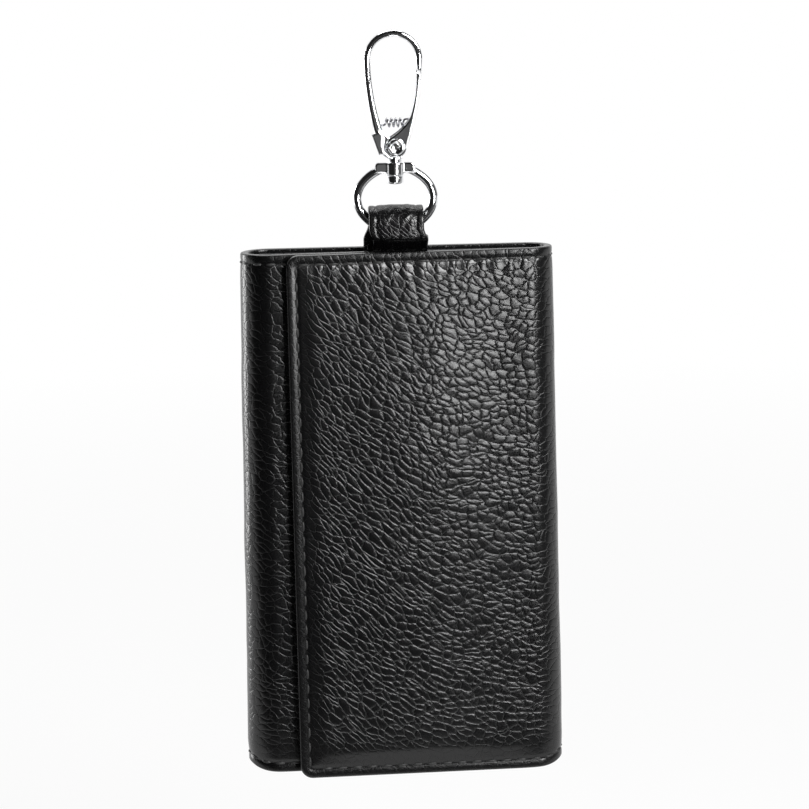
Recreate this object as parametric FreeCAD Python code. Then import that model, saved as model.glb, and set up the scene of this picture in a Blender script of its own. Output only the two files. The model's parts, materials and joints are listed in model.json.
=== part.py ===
"""Trifold leather key case that hangs from a swivel clasp.

Millimetres. X runs to the right, the front faces -Y, and Z is up. The origin is the inner top
of the clasp's hook, where the case hangs. One outer leather sheet runs round the case: inner
flap, left fold, back, right fold, front flap. Seen from above it turns clockwise, with the
inside of the case on its right hand.
"""
import FreeCAD
import Part
import math
import os

V = FreeCAD.Vector

# Case
CASE_WIDTH = 65.0
CASE_HEIGHT = 110.5
CASE_DEPTH_RIGHT = 10.5      # back face to front flap at the fold that carries the flap
FLAP_TILT_DEG = 4.5          # the front flap leans outwards towards its free edge
OPEN_STRIP = 9.3             # strip of the left fold that the front flap leaves in view
INNER_FLAP_SHORT = 1.5       # the inner flap ends this far before the middle
LEFT_BOTTOM_RISE = 1.0       # left fold and inner flap end this much above the front flap
LEATHER = 0.9
BOARD = 0.8
LINING = 0.5
FLAP_GAP = 0.4               # between front flap and inner flap
FOLD_SPLIT = 0.1             # gap between solids at a fold line
LINING_SET = 0.6             # lining ends this far inside the leather's edges
BOARD_SET = 2.5              # board ends this far inside the leather's edges
FLAP_CORNER_R = 2.6
FOLD_LINE_DEG = 45.0         # where the first fold line lies on a side fold's arc
BACK_TURN_DEG = 90.0         # turn of a side fold about its fold line on the back

# Hidden closure discs
MAGNET_SHARE = 0.23          # disc radius to the width in which the two flaps overlap
MAGNET_PLAY = 0.1

# Leather loop
STRAP_SIDE_PLAY = 1.25       # from each side of the strap to the inside of the ring
STRAP = 1.4
EYE_R = 2.45                 # inner radius of the loop round the ring
STRAP_SEWN = 8.0             # length sewn to the lining
LOOP_RISE = 5.25             # swing axis above the case's top edge
LOOP_CLOSE = 1.2             # the two layers meet this far below the top edge

# Swivel ring
RING_WIDTH = 17.8
RING_HEIGHT = 15.0
RING_WIRE = 1.95
RING_SIDE_R = 5.2            # centreline radius at the ends of the oval
BAR_WIDTH = 8.2
BAR_HEIGHT = 2.1
BAR_THICK = 2.0
BAR_CORNER_R = 0.7
HUB_R = 1.95
HUB_HEIGHT = 2.7
WIRE_IN_EYE = 1.2            # lowest point of the ring below the swing axis

# Swivel pin
PIN_R = 1.0
PIN_PLAY = 0.06
PIN_HEAD_R = 1.8
PIN_HEAD = 1.6
PIN_HEAD_ROUND = 0.45
SWIVEL_GAP = 0.15

# Clasp
HOOK_R = 4.7                 # inner radius of the hook
HOOK_BAR = 1.4
CLASP_DROP = 25.25           # origin to the foot of the base
CLASP_THICK = 3.4
CLASP_ROUND = 0.5
COLLAR_R = 1.5
COLLAR = 0.75
COLLAR_SINK = 0.15           # the collar reaches this far into the base
TIP_GAP = 0.2                # between hook tip and gate
GATE_WALL = 0.7              # least thickness of the gate's outer wall
GATE_SLOT = 2.3
LUG_PLAY = 0.1
BOSS_R = 2.2
BOSS_PLAY = 0.25
RIVET_R = 0.75
RIVET_PLAY = 0.05
RIVET_SEAT = 0.02
RIVET_HEAD_R = 1.8
RIVET_HEAD = 0.5
RIVET_CREST_R = 1.3          # highest ring of the hollow head
RIVET_DISH_R = 0.75
RIVET_RIM = 0.12
RIVET_DISH = 0.18            # left under the hollow
RIVET_HEAD_GAP = 0.1
BLOCK_PROUD = 0.25           # the base's block stands out by this, front and back
CUT_OVERRUN = 1.0            # every cut runs past its faces by this

# Clasp outline, as shares of the hook's outer radius (across) and of the drop (down)
SPINE_OUTER_MID_SHARES = (-0.91, 0.495)
SPINE_OUTER_END_SHARES = (-0.64, 0.83)
SPINE_INNER_MID_SHARES = (-0.665, 0.495)
SPINE_INNER_END_SHARES = (-0.41, 0.76)
TIP_INNER_SHARES = (0.785, 0.26)
TIP_OUTER_SHARES = (0.96, 0.312)
BASE_SHARES = ((-0.45, 0.965), (-0.25, 1.0), (0.26, 1.0), (0.30, 0.93))
BLOCK_SHARES = ((-0.775, 0.80), (-0.52, 0.776), (-0.37, 0.80), (-0.37, 0.955), (-0.54, 0.966))
RIVET_SHARES = (0.05, 0.903)
GATE_FOOT_SHARES = (0.53, 0.82)
GATE_INNER_SHARES = ((0.71, 0.52), (0.51, 0.685))
WEB_LEAVES_DEG = 122.0       # where the web's curve leaves the boss, from +X
SLOT_TOP_SHARE = 0.62
SPRING_SHARE = 0.708
FRAME_INNER_SHARE = -0.40

# Gate spring
SPRING_WIRE = 0.45
SPRING_OUTER = 2.1
SPRING_TURNS = 4.0
SPRING_BEND_R = 0.6
SPRING_GATE_GAP = 0.15
SPRING_ROOM = 0.15

# Key plate, rod and hooks
PLATE_FROM_SIDE = 8.0        # from the plate's end to the side of the case
PLATE_HEIGHT = 8.0
PLATE = 0.8
PLATE_BELOW_STRAP = 1.3
PLATE_CORNER_R = 1.5
PLATE_RIVET_R = 1.2
PLATE_RIVET_HEAD_R = 2.2
PLATE_RIVET_HEAD = 0.6
PLATE_RIVET_INSET = 9.0
ROD_R = 0.6
ROD_BELOW_PLATE = 2.2
ROD_FORWARD = 2.2            # rod axis in front of the lining
ROD_SEAT = 0.02
EAR = 1.0
EAR_R = 1.4
HOOK_COUNT = 6
HOOK_END_GAP = 2.0           # from an ear to the first hook
HOOK_GAP = 1.4               # between two hooks
HOOK_BARREL_R = 1.3
HOOK_BARREL = 3.0
HOOK_BORE_PLAY = 0.08
HOOK_WIRE = 1.3
HOOK_THICK = 1.2
HOOK_LOOP = 20.0
HOOK_NECK = 3.0
HOOK_NECK_WIDTH = 2.2
HOOK_SLIT = 0.5
HOOK_SLIT_DROP = 5.0         # slit below the top of the loop
HOOK_ROUND = 0.3

# Places worked out from the sizes above
TILT = math.radians(FLAP_TILT_DEG)
LAMINATE = LEATHER + BOARD + LINING
STRAP_WIDTH = RING_WIDTH - 2 * (RING_WIRE + STRAP_SIDE_PLAY)
EYE_OUTER_R = EYE_R + STRAP
BACK_Y = EYE_OUTER_R + LAMINATE
HOOK_OUTER_R = HOOK_R + HOOK_BAR
COLLAR_FOOT_Z = -CLASP_DROP - COLLAR
HUB_TOP_Z = COLLAR_FOOT_Z - SWIVEL_GAP
HUB_FOOT_Z = HUB_TOP_Z - HUB_HEIGHT
RING_FOOT_Z = HUB_TOP_Z - RING_HEIGHT + RING_WIRE / 2
SWING_Z = RING_FOOT_Z + WIRE_IN_EYE
TOP_Z = SWING_Z - LOOP_RISE
FOOT_Z = TOP_Z - CASE_HEIGHT
RIGHT_R = CASE_DEPTH_RIGHT / 2
FRONT_STEP = LAMINATE + FLAP_GAP
LEFT_R = (RIGHT_R * (1 + math.cos(TILT) - math.sin(TILT)) - FRONT_STEP
          + CASE_WIDTH * math.sin(TILT)) / (1 + math.cos(TILT) + math.sin(TILT))
RIGHT_C = V(CASE_WIDTH / 2 - RIGHT_R, BACK_Y - RIGHT_R, 0)
LEFT_C = V(LEFT_R - CASE_WIDTH / 2, BACK_Y - LEFT_R, 0)
FRONT_EDGE_X = OPEN_STRIP - CASE_WIDTH / 2
FLAP_OVERLAP = -INNER_FLAP_SHORT - FRONT_EDGE_X
MAGNET_R = FLAP_OVERLAP * MAGNET_SHARE
PLATE_WIDTH = CASE_WIDTH - 2 * PLATE_FROM_SIDE
HOOK_ROOM = PLATE_WIDTH - 2 * (EAR + HOOK_END_GAP)
HOOK_WIDTH = (HOOK_ROOM - (HOOK_COUNT - 1) * HOOK_GAP) / HOOK_COUNT
HOOK_PITCH = HOOK_WIDTH + HOOK_GAP
FLAP_OUT = V(math.sin(TILT), -math.cos(TILT), 0)
FLAP_RUN = V(-math.cos(TILT), -math.sin(TILT), 0)

# Directions on the side folds' arcs, in degrees from +X seen from above
STRAIGHT_UP = 90.0
FLAP_DEG = FLAP_TILT_DEG - STRAIGHT_UP
RIGHT_FOLD_1 = STRAIGHT_UP - FOLD_LINE_DEG
RIGHT_FOLD_2 = FLAP_DEG + (RIGHT_FOLD_1 - FLAP_DEG) * FOLD_LINE_DEG / (BACK_TURN_DEG + FOLD_LINE_DEG)
LEFT_FOLD_1 = STRAIGHT_UP + FOLD_LINE_DEG
LEFT_END = FLAP_DEG + 2 * (STRAIGHT_UP + BACK_TURN_DEG)
LEFT_FOLD_2 = LEFT_END - (LEFT_END - LEFT_FOLD_1) * FOLD_LINE_DEG / (BACK_TURN_DEG + FOLD_LINE_DEG)


def polar(centre, radius, degrees):
    angle = math.radians(degrees)
    return centre + V(radius * math.cos(angle), radius * math.sin(angle), 0)


def arc_edge(centre, radius, start, end):
    middle = (start + end) / 2
    points = [polar(centre, radius, angle) for angle in (start, middle, end)]
    return Part.Arc(*points).toShape()


def line_edge(start, end):
    return Part.LineSegment(start, end).toShape()


def split_angle(radius):
    """Half the gap at a fold line, as an angle on the fold's arc."""
    return math.degrees(FOLD_SPLIT / 2 / radius)


def flap_line(centre, radius, free_x):
    """The start and end of a flap's outer face, seen from above."""
    start = centre + FLAP_OUT * radius
    length = (start.x - free_x) / math.cos(TILT)
    return start, start + FLAP_RUN * length


def back_edges(depth):
    """The back's line at a depth inside the outer face, from left to right."""
    left = LEFT_R - depth
    right = RIGHT_R - depth
    return [arc_edge(LEFT_C, left, LEFT_FOLD_1 - split_angle(LEFT_R), STRAIGHT_UP),
            line_edge(polar(LEFT_C, left, STRAIGHT_UP), polar(RIGHT_C, right, STRAIGHT_UP)),
            arc_edge(RIGHT_C, right, STRAIGHT_UP, RIGHT_FOLD_1 + split_angle(RIGHT_R))]


def right_fold_edges(depth):
    split = split_angle(RIGHT_R)
    return [arc_edge(RIGHT_C, RIGHT_R - depth, RIGHT_FOLD_1 - split, RIGHT_FOLD_2 + split)]


def left_fold_edges(depth):
    split = split_angle(LEFT_R)
    return [arc_edge(LEFT_C, LEFT_R - depth, LEFT_FOLD_2 - split, LEFT_FOLD_1 + split)]


def front_flap_edges(depth):
    start, end = flap_line(RIGHT_C, RIGHT_R, FRONT_EDGE_X)
    inward = FLAP_OUT * -depth
    return [arc_edge(RIGHT_C, RIGHT_R - depth, RIGHT_FOLD_2 - split_angle(RIGHT_R), FLAP_DEG),
            line_edge(start + inward, end + inward)]


def inner_flap_edges(depth):
    """The inner flap's line, from its fold line to its free edge."""
    start = LEFT_C + FLAP_OUT * LEFT_R
    length = (-INNER_FLAP_SHORT - start.x) / math.cos(TILT)
    inward = FLAP_OUT * -depth
    end = start - FLAP_RUN * length
    return [arc_edge(LEFT_C, LEFT_R - depth, LEFT_FOLD_2 + split_angle(LEFT_R), LEFT_END),
            line_edge(start + inward, end + inward)]


def band(edges_at, near, far, foot, top):
    """An upright wall between two depths inside the leather's outer face."""
    outer = edges_at(near)
    inner = edges_at(far)
    first = line_edge(inner[0].firstVertex(True).Point, outer[0].firstVertex(True).Point)
    last = line_edge(outer[-1].lastVertex(True).Point, inner[-1].lastVertex(True).Point)
    wire = Part.Wire(outer + [last] + inner[::-1] + [first])
    return Part.Face(wire).extrude(V(0, 0, top - foot)).translated(V(0, 0, foot))


def round_free_corners(solid, radius, free_point, reach):
    """Round the top and bottom corners of a flap's free edge."""
    chosen = []
    for edge in solid.Edges:
        low, high = edge.BoundBox.ZMin, edge.BoundBox.ZMax
        middle = edge.CenterOfMass
        away = V(middle.x - free_point.x, middle.y - free_point.y, 0).Length
        if high - low < FOLD_SPLIT and away < reach and edge.Length < reach:
            chosen.append(edge)
    return solid.makeFillet(radius, chosen)


def flat_board(edges_at, foot, top):
    """A stiffening board behind the flat stretch of a panel."""
    line = [edge for edge in edges_at(LEATHER) if isinstance(edge.Curve, Part.Line)][0]
    start, end = line.firstVertex(True).Point, line.lastVertex(True).Point
    along = (end - start).normalize()
    inward = V(along.y, -along.x, 0)
    if edges_at is inner_flap_edges:
        inward = inward * -1
    a = start + along * BOARD_SET
    b = end - along * BOARD_SET
    wire = Part.makePolygon([a, b, b + inward * BOARD, a + inward * BOARD, a])
    height = top - foot - 2 * BOARD_SET
    return Part.Face(wire).extrude(V(0, 0, height)).translated(V(0, 0, foot + BOARD_SET))


def closure_disc(depth_at, radius, point):
    """A disc in the plane of the flaps, its outer face at a depth inside the leather."""
    base = point - FLAP_OUT * depth_at
    return Part.makeCylinder(radius, BOARD, base, FLAP_OUT * -1)


def panels():
    """The leather, lining and boards of the five panels, and the closure discs."""
    nodes = {}
    left_foot = FOOT_Z + LEFT_BOTTOM_RISE
    plan = {"back": (back_edges, FOOT_Z), "right_fold": (right_fold_edges, FOOT_Z),
            "front_flap": (front_flap_edges, FOOT_Z), "left_fold": (left_fold_edges, left_foot),
            "inner_flap": (inner_flap_edges, left_foot)}
    for name, (edges_at, foot) in plan.items():
        nodes[name + "_leather"] = band(edges_at, 0, LEATHER, foot, TOP_Z)
        nodes[name + "_lining"] = band(edges_at, LEATHER, LAMINATE, foot + LINING_SET,
                                       TOP_Z - LINING_SET)
    for name in ("back", "front_flap", "inner_flap"):
        edges_at, foot = plan[name]
        nodes[name + "_board"] = flat_board(edges_at, foot, TOP_Z)

    front_end = flap_line(RIGHT_C, RIGHT_R, FRONT_EDGE_X)[1]
    inner_end = inner_flap_edges(0)[-1].lastVertex(True).Point
    for flap, end in (("front_flap", front_end), ("inner_flap", inner_end)):
        for layer in ("leather", "lining"):
            key = flap + "_" + layer
            nodes[key] = round_free_corners(nodes[key], FLAP_CORNER_R, end, 2 * LAMINATE)
    for name in ("back", "front_flap", "inner_flap"):
        nodes[name + "_lining"] = nodes[name + "_lining"].cut(nodes[name + "_board"])

    middle_z = (TOP_Z + FOOT_Z) / 2
    magnet = front_end - FLAP_RUN * (FLAP_OVERLAP / 2) + V(0, 0, middle_z)
    keeper = magnet - FLAP_OUT * FRONT_STEP
    for flap, disc, point in (("front_flap", "closure_magnet", magnet),
                              ("inner_flap", "closure_keeper", keeper)):
        nodes[disc] = closure_disc(LEATHER, MAGNET_R, point)
        hole = closure_disc(LEATHER, MAGNET_R + MAGNET_PLAY, point)
        nodes[flap + "_board"] = nodes[flap + "_board"].cut(hole)
    return nodes


def loop_strap():
    """Strap folded round the ring: the back layer is flat on the lining, the front one joins it."""
    eye = V(0, 0, SWING_Z)
    join_z = TOP_Z - LOOP_CLOSE
    foot_z = TOP_Z - STRAP_SEWN
    face_y = EYE_OUTER_R - 2 * STRAP

    def tangent(radius, target):
        """Where a line from a point below touches the eye's circle on its front side."""
        away = target - eye
        distance = away.Length
        turn = math.acos(radius / distance)
        direction = math.atan2(away.z, away.y) - turn
        return eye + V(0, radius * math.cos(direction), radius * math.sin(direction))

    outer_join = V(0, face_y, join_z)
    inner_join = V(0, face_y + STRAP, join_z)
    outer_touch = tangent(EYE_OUTER_R, outer_join)
    inner_touch = tangent(EYE_R, inner_join)

    def over(radius, touch):
        start = eye + V(0, radius, 0)
        return Part.Arc(start, eye + V(0, 0, radius), touch).toShape()

    outer = Part.Wire([
        line_edge(V(0, EYE_OUTER_R, foot_z), eye + V(0, EYE_OUTER_R, 0)),
        over(EYE_OUTER_R, outer_touch),
        line_edge(outer_touch, outer_join),
        line_edge(outer_join, V(0, face_y, foot_z)),
        line_edge(V(0, face_y, foot_z), V(0, EYE_OUTER_R, foot_z))])
    inner = Part.Wire([
        line_edge(inner_join, eye + V(0, EYE_R, 0)),
        over(EYE_R, inner_touch),
        line_edge(inner_touch, inner_join)])
    move = V(STRAP_WIDTH, 0, 0)
    solid = Part.Face(outer).extrude(move).cut(Part.Face(inner).extrude(move))
    return solid.translated(V(-STRAP_WIDTH / 2, 0, 0))


def ring_arc(centre, radius, start, end):
    """A stretch of the ring's round wire, turned about an axis along Y."""
    angle = math.radians(start)
    place = centre + V(radius * math.cos(angle), 0, radius * math.sin(angle))
    direction = V(-math.sin(angle), 0, math.cos(angle))
    section = Part.Face(Part.Wire(Part.makeCircle(RING_WIRE / 2, place, direction)))
    return section.revolve(centre, V(0, -1, 0), end - start)


def swivel_ring():
    """Oval ring of four tangent arcs, with a bar and a hub for the swivel pin at its top."""
    half_w = (RING_WIDTH - RING_WIRE) / 2
    half_h = (RING_HEIGHT - RING_WIRE) / 2
    side = max(half_w, half_h) - RING_SIDE_R
    rest = min(half_w, half_h) - RING_SIDE_R
    lift = (side ** 2 - rest ** 2) / (2 * rest)
    broad_r = lift + rest + RING_SIDE_R
    middle = V(0, 0, RING_FOOT_Z + half_h)
    spread = math.degrees(math.atan2(side, lift))
    up = STRAIGHT_UP
    arcs = [ring_arc(middle + V(0, 0, lift), broad_r, -up - spread, -up + spread),
            ring_arc(middle + V(side, 0, 0), RING_SIDE_R, -up + spread, up - spread),
            ring_arc(middle - V(0, 0, lift), broad_r, up - spread, up + spread),
            ring_arc(middle - V(side, 0, 0), RING_SIDE_R, up + spread, 3 * up - spread)]
    if half_h > half_w:
        arcs = [arc.rotated(middle, V(0, 1, 0), up) for arc in arcs]
    bar = Part.makeBox(BAR_WIDTH, BAR_THICK, BAR_HEIGHT,
                       V(-BAR_WIDTH / 2, -BAR_THICK / 2, HUB_TOP_Z - BAR_HEIGHT))
    shoulders = [edge for edge in bar.Edges
                 if edge.BoundBox.XLength + edge.BoundBox.ZLength < FOLD_SPLIT
                 and edge.BoundBox.ZMin > HUB_TOP_Z - BAR_HEIGHT / 2]
    bar = bar.makeFillet(BAR_CORNER_R, shoulders)
    hub = Part.makeCylinder(HUB_R, HUB_HEIGHT, V(0, 0, HUB_FOOT_Z))
    bore = Part.makeCylinder(PIN_R + PIN_PLAY, HUB_HEIGHT + 2 * CUT_OVERRUN,
                             V(0, 0, HUB_FOOT_Z - CUT_OVERRUN))
    return arcs[0].multiFuse(arcs[1:] + [bar, hub]).cut(bore).removeSplitter()


def swivel_pin():
    """Pin under the clasp's collar, with a head that carries the ring."""
    head_top = HUB_FOOT_Z - SWIVEL_GAP
    shank = Part.makeCylinder(PIN_R, COLLAR_FOOT_Z - head_top, V(0, 0, head_top))
    head = Part.makeCylinder(PIN_HEAD_R, PIN_HEAD, V(0, 0, head_top - PIN_HEAD))
    low = [edge for edge in head.Edges if edge.BoundBox.ZMax < head_top - PIN_HEAD / 2]
    return head.makeFillet(PIN_HEAD_ROUND, low).fuse(shank)


def clasp_point(shares):
    return V(shares[0] * HOOK_OUTER_R, 0, -shares[1] * CLASP_DROP)


def three_point_arc(points):
    return Part.Arc(*points).toShape()


def plate_of(edges, thick):
    """A flat plate on a closed outline, centred on Y = 0."""
    face = Part.Face(Part.Wire(edges))
    return face.extrude(V(0, thick, 0)).translated(V(0, -thick / 2, 0))


def polygon_plate(points, thick):
    return plate_of(Part.makePolygon(points + points[:1]).Edges, thick)


def along_y(radius, thick, point):
    return Part.makeCylinder(radius, thick, V(point.x, -thick / 2, point.z), V(0, 1, 0))


def front_and_back_edges(solid, thick):
    """The edges of a plate's outline on its front and back faces."""
    half = thick / 2
    keep = []
    for edge in solid.Edges:
        box = edge.BoundBox
        if min(abs(box.YMin - half), abs(box.YMax + half)) < FOLD_SPLIT and box.YLength < FOLD_SPLIT:
            keep.append(edge)
    return keep


def rivet_point():
    return clasp_point(RIVET_SHARES)


def clasp_plate():
    """Hook, spine and base on one outline, its edges rounded front and back."""
    centre = V(0, 0, -HOOK_R)
    outer_left = centre - V(HOOK_OUTER_R, 0, 0)
    inner_left = centre - V(HOOK_R, 0, 0)
    outer_right = centre + V(HOOK_OUTER_R, 0, 0)
    inner_right = centre + V(HOOK_R, 0, 0)
    spine_outer = [clasp_point(s) for s in (SPINE_OUTER_MID_SHARES, SPINE_OUTER_END_SHARES)]
    spine_inner = [clasp_point(s) for s in (SPINE_INNER_MID_SHARES, SPINE_INNER_END_SHARES)]
    tip_inner = clasp_point(TIP_INNER_SHARES)
    tip_outer = clasp_point(TIP_OUTER_SHARES)
    base = [spine_outer[-1]] + [clasp_point(s) for s in BASE_SHARES] + [rivet_point(), spine_inner[-1]]
    edges = [
        line_edge(tip_outer, outer_right),
        three_point_arc([outer_right, centre + V(0, 0, HOOK_OUTER_R), outer_left]),
        three_point_arc([outer_left] + spine_outer)]
    edges += [line_edge(start, end) for start, end in zip(base, base[1:])]
    edges += [
        three_point_arc(spine_inner[::-1] + [inner_left]),
        three_point_arc([inner_left, centre + V(0, 0, HOOK_R), inner_right]),
        line_edge(inner_right, tip_inner),
        line_edge(tip_inner, tip_outer)]
    solid = plate_of(edges, CLASP_THICK)
    return solid.makeFillet(CLASP_ROUND, front_and_back_edges(solid, CLASP_THICK))


def clasp_body():
    """Hook, spine and base in one casting, with a lug that the gate straddles."""
    rivet = rivet_point()
    block = polygon_plate([clasp_point(s) for s in BLOCK_SHARES], CLASP_THICK + 2 * BLOCK_PROUD)
    body = clasp_plate().fuse(block)
    lug_thick = GATE_SLOT - 2 * LUG_PLAY
    pocket_r = BOSS_R + BOSS_PLAY
    inner_x = FRAME_INNER_SHARE * HOOK_OUTER_R
    slot_top = -SLOT_TOP_SHARE * CLASP_DROP
    for y in (lug_thick / 2, -lug_thick / 2 - CLASP_THICK):
        pocket = Part.makeCylinder(pocket_r, CLASP_THICK, V(rivet.x, y, rivet.z), V(0, 1, 0))
        room = Part.makeBox(HOOK_R, CLASP_THICK, slot_top - rivet.z, V(inner_x, y, rivet.z))
        body = body.cut(pocket).cut(room)
    lug = along_y(BOSS_R - 2 * LUG_PLAY, lug_thick, rivet)
    collar = Part.makeCylinder(COLLAR_R, COLLAR + COLLAR_SINK, V(0, 0, COLLAR_FOOT_Z))
    body = body.multiFuse([lug, collar])
    body = body.cut(along_y(RIVET_R + RIVET_SEAT, 2 * CLASP_THICK, rivet))
    return body.cut(spring_seat()).removeSplitter()


def spring_seat_x():
    """Flat on the spine's inner side where the spring ends."""
    mid, end = clasp_point(SPINE_INNER_MID_SHARES), clasp_point(SPINE_INNER_END_SHARES)
    z = -SPRING_SHARE * CLASP_DROP - SPRING_OUTER / 2
    share = (z - mid.z) / (end.z - mid.z)
    return mid.x + (end.x - mid.x) * share - SPRING_ROOM


def spring_seat():
    size = SPRING_OUTER + 2 * SPRING_ROOM
    z = -SPRING_SHARE * CLASP_DROP - size / 2
    return Part.makeBox(HOOK_OUTER_R, size, size, V(spring_seat_x(), -size / 2, z))


def gate_nose():
    """The ends of the gate's nose face, which lies along the hook's slanted tip."""
    tip_inner, tip_outer = clasp_point(TIP_INNER_SHARES), clasp_point(TIP_OUTER_SHARES)
    along = (tip_outer - tip_inner).normalize()
    clear = V(along.z, 0, -along.x) * TIP_GAP
    return tip_inner + clear + along * TIP_GAP, tip_outer + clear


def gate_wall_x(z):
    """Inner face of the gate's outer wall at a height."""
    foot, top = clasp_point(GATE_FOOT_SHARES), gate_nose()[1]
    share = (z - foot.z) / (top.z - foot.z)
    return foot.x + (top.x - foot.x) * share - GATE_WALL


def bent_arc(start, tangent, end):
    """The arc that leaves a point along a tangent and ends at another point."""
    chord = end - start
    side = tangent - chord * (tangent.dot(chord) / chord.dot(chord))
    middle = start + chord / 2
    if side.Length > 0:
        middle = middle + side.normalize() * (chord.Length / 2 * math.tan(tangent.getAngle(chord) / 2))
    return Part.Arc(start, middle, end)


def boss_touch(point):
    """Where a line from a point touches the right side of the gate's boss."""
    rivet = rivet_point()
    away = point - rivet
    direction = math.atan2(away.z, away.x) - math.acos(BOSS_R / away.Length)
    return rivet + V(math.cos(direction), 0, math.sin(direction)) * BOSS_R


def clasp_gate():
    """Channel-shaped gate: an outer wall with two cheeks that straddle the lug."""
    rivet = rivet_point()
    foot = clasp_point(GATE_FOOT_SHARES)
    inner_mid, inner_foot = [clasp_point(s) for s in GATE_INNER_SHARES]
    nose_high, nose_low = gate_nose()
    boss_right = boss_touch(foot)
    leaves = math.radians(WEB_LEAVES_DEG)
    boss_left = rivet + V(math.cos(leaves), 0, math.sin(leaves)) * BOSS_R
    web_dir = V(math.sin(leaves), 0, -math.cos(leaves))
    edges = [
        bent_arc(foot, (foot - boss_right).normalize(), nose_low).toShape(),
        line_edge(boss_right, foot),
        three_point_arc([boss_right, rivet - V(0, 0, BOSS_R), boss_left]),
        bent_arc(boss_left, web_dir, inner_foot).toShape(),
        three_point_arc([inner_foot, inner_mid, nose_high]),
        line_edge(nose_high, nose_low)]
    gate = plate_of(Part.sortEdges(edges)[0], CLASP_THICK)
    slot_top = -SLOT_TOP_SHARE * CLASP_DROP
    low_z = rivet.z - 2 * BOSS_R
    slot = polygon_plate([V(gate_wall_x(slot_top), 0, slot_top), V(gate_wall_x(low_z), 0, low_z),
                          V(-HOOK_OUTER_R, 0, low_z), V(-HOOK_OUTER_R, 0, slot_top)], GATE_SLOT)
    room = along_y(BOSS_R + LUG_PLAY, GATE_SLOT, rivet)
    bore = along_y(RIVET_R + RIVET_PLAY, 2 * CLASP_THICK, rivet)
    return gate.cut(slot.fuse(room)).cut(bore)


def gate_rivet():
    """Rivet with a domed head on each side, hollow in the middle."""
    rivet = rivet_point()
    reach = CLASP_THICK / 2 + RIVET_HEAD_GAP
    solid = along_y(RIVET_R, 2 * reach, rivet)
    middle = (RIVET_CREST_R + RIVET_DISH_R) / 2
    slope = (RIVET_HEAD + RIVET_DISH) / 2

    for side in (-1, 1):
        def at(radius, height):
            return V(rivet.x + radius, side * (reach + height), rivet.z)

        edges = [
            line_edge(at(0, 0), at(RIVET_HEAD_R, 0)),
            line_edge(at(RIVET_HEAD_R, 0), at(RIVET_HEAD_R, RIVET_RIM)),
            bent_arc(at(RIVET_CREST_R, RIVET_HEAD), V(1, 0, 0), at(RIVET_HEAD_R, RIVET_RIM)).toShape(),
            bent_arc(at(RIVET_CREST_R, RIVET_HEAD), V(-1, 0, 0), at(middle, slope)).toShape(),
            line_edge(at(middle, slope), at(RIVET_DISH_R, RIVET_DISH)),
            line_edge(at(RIVET_DISH_R, RIVET_DISH), at(0, RIVET_DISH)),
            line_edge(at(0, RIVET_DISH), at(0, 0))]
        face = Part.Face(Part.Wire(Part.sortEdges(edges)[0]))
        head = face.revolve(rivet, V(0, 1, 0), 360)
        solid = solid.fuse(head)
    return solid


def biarc(start, start_dir, end, end_dir):
    """Two tangent arcs between two points with given directions."""
    chord = end - start
    a = 2 * (1 - start_dir.dot(end_dir))
    b = 2 * chord.dot(start_dir + end_dir)
    reach = (-b + math.sqrt(b * b + 4 * a * chord.dot(chord))) / (2 * a)
    first = start + start_dir * reach
    second = end - end_dir * reach
    join = (first + second) / 2
    return [bent_arc(start, start_dir, join), bent_arc(join, (second - first).normalize(), end)]


def gate_spring():
    """Coil spring between spine and gate, its wire ends turned square to both."""
    radius = (SPRING_OUTER - SPRING_WIRE) / 2
    z = -SPRING_SHARE * CLASP_DROP
    x_start = spring_seat_x()
    x_end = gate_wall_x(z + SPRING_BEND_R) - SPRING_GATE_GAP
    lead = SPRING_WIRE + SPRING_BEND_R
    pitch = (x_end - x_start - 2 * lead) / SPRING_TURNS
    quarters = int(4 * SPRING_TURNS)
    climb = pitch / (2 * math.pi)
    ahead = V(1, 0, 0)

    def on_helix(turn):
        angle = 2 * math.pi * turn
        place = V(x_start + lead + pitch * turn, radius * math.cos(angle), z + radius * math.sin(angle))
        return place, V(climb, -radius * math.sin(angle), radius * math.cos(angle)).normalize()

    def end_bend(place, tangent, way):
        """Arc from the coil's end to the direction along the axis, and its straight end."""
        axis = ahead * way
        turn = tangent.getAngle(axis)
        side = (axis - tangent * axis.dot(tangent)).normalize()

        def at(angle):
            return place + (tangent * math.sin(angle) + side * (1 - math.cos(angle))) * SPRING_BEND_R

        corner = at(turn)
        stop = V(x_start if way < 0 else x_end, corner.y, corner.z)
        return Part.Arc(place, at(turn / 2), corner), Part.LineSegment(corner, stop)

    first, first_dir = on_helix(0)
    last, last_dir = on_helix(SPRING_TURNS)
    bend_in, straight_in = end_bend(first, first_dir * -1, -1)
    bend_out, straight_out = end_bend(last, last_dir, 1)
    curves = [straight_in, bend_in]
    for quarter in range(quarters):
        start, start_dir = on_helix(quarter / 4)
        end, end_dir = on_helix((quarter + 1) / 4)
        curves += biarc(start, start_dir, end, end_dir)
    curves += [bend_out, straight_out]
    path = Part.Wire(Part.sortEdges([curve.toShape() for curve in curves])[0])
    start = V(x_start, straight_in.EndPoint.y, straight_in.EndPoint.z)
    section = Part.Wire(Part.makeCircle(SPRING_WIRE / 2, start, ahead))
    tube = path.makePipeShell([section], True, False)
    print("gate spring: least gap to itself %.2f mm" % least_gap(path, SPRING_WIRE))
    return tube


def least_gap(path, wire):
    """Least clear distance between stretches of a wound wire, measured on points."""
    points = path.discretize(Distance=wire / 2)
    apart = int(math.ceil(math.pi * (wire + SPRING_BEND_R) / (wire / 2)))
    gaps = [points[i].distanceToPoint(points[j]) - wire
            for i in range(len(points)) for j in range(i + apart, len(points))]
    return min(gaps)


def lining_y():
    return BACK_Y - LAMINATE


def plate_top_z():
    return TOP_Z - STRAP_SEWN - PLATE_BELOW_STRAP


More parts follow.
